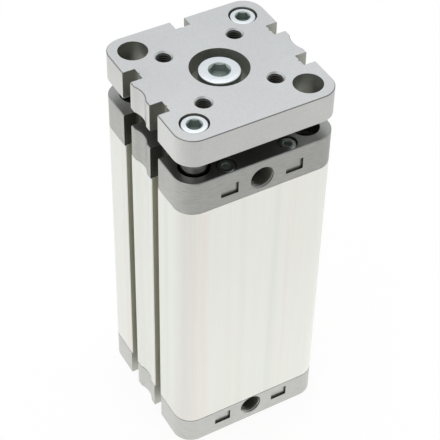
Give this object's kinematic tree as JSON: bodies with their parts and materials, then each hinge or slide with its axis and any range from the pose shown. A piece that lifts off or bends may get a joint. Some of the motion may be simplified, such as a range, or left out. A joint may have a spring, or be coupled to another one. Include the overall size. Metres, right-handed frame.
{
  "type": "compact pneumatic cylinder",
  "caption": "Square compact pneumatic cylinder with side sensor slots, threaded ports and a guide plate carried on the piston rod and two corner guide rods.",
  "frame": {"origin": "centre of the rear mounting face, at the bottom", "axes": "+Z along the cylinder axis towards the guide plate; -Y is the face with the air ports; +X to the right as seen from the port face"},
  "size_m": [0.065, 0.065, 0.165],
  "materials": {
    "tube": "pearl anodised, satin",
    "cap": "blasted and anodised, matt",
    "plate": "satin anodised",
    "piston": "turned, bare",
    "rod": "ground and hard chromed",
    "guide_rod": "ground",
    "screw": "bright zinc plated",
    "bush": "sintered bronze",
    "seal": "matt",
    "wiper": "satin polyurethane",
    "guide_ring": "filled plastic",
    "magnet": "sintered magnet, matt"
  },
  "bodies": {
    "cylinder": {"barrel_tube": "tube", "front_cap": "cap", "rear_cap": "cap", "front_cap_screws": "screw", "rear_cap_screws": "screw", "tube_oring_front": "seal", "tube_oring_rear": "seal", "rod_bush": "bush", "rod_wiper": "wiper", "bumper_front": "wiper", "bumper_rear": "wiper", "guide_bush_near": "bush", "guide_bush_far": "bush"},
    "rod_assembly": {"piston_rod": "rod", "piston_rear": "piston", "piston_front": "piston", "piston_oring": "seal", "piston_seal_rear": "seal", "piston_seal_front": "seal", "piston_guide_ring": "guide_ring", "piston_magnet": "magnet", "piston_screw": "screw", "guide_plate": "plate", "plate_centre_screw": "screw", "guide_rod_near": "guide_rod", "guide_rod_far": "guide_rod", "guide_rod_screws": "screw"}
  },
  "joints": [
    {"name": "rod_slide", "type": "slide", "parent": "cylinder", "child": "rod_assembly", "axis": [0, 0, 1], "range_m": [0, 0.1]}
  ]
}
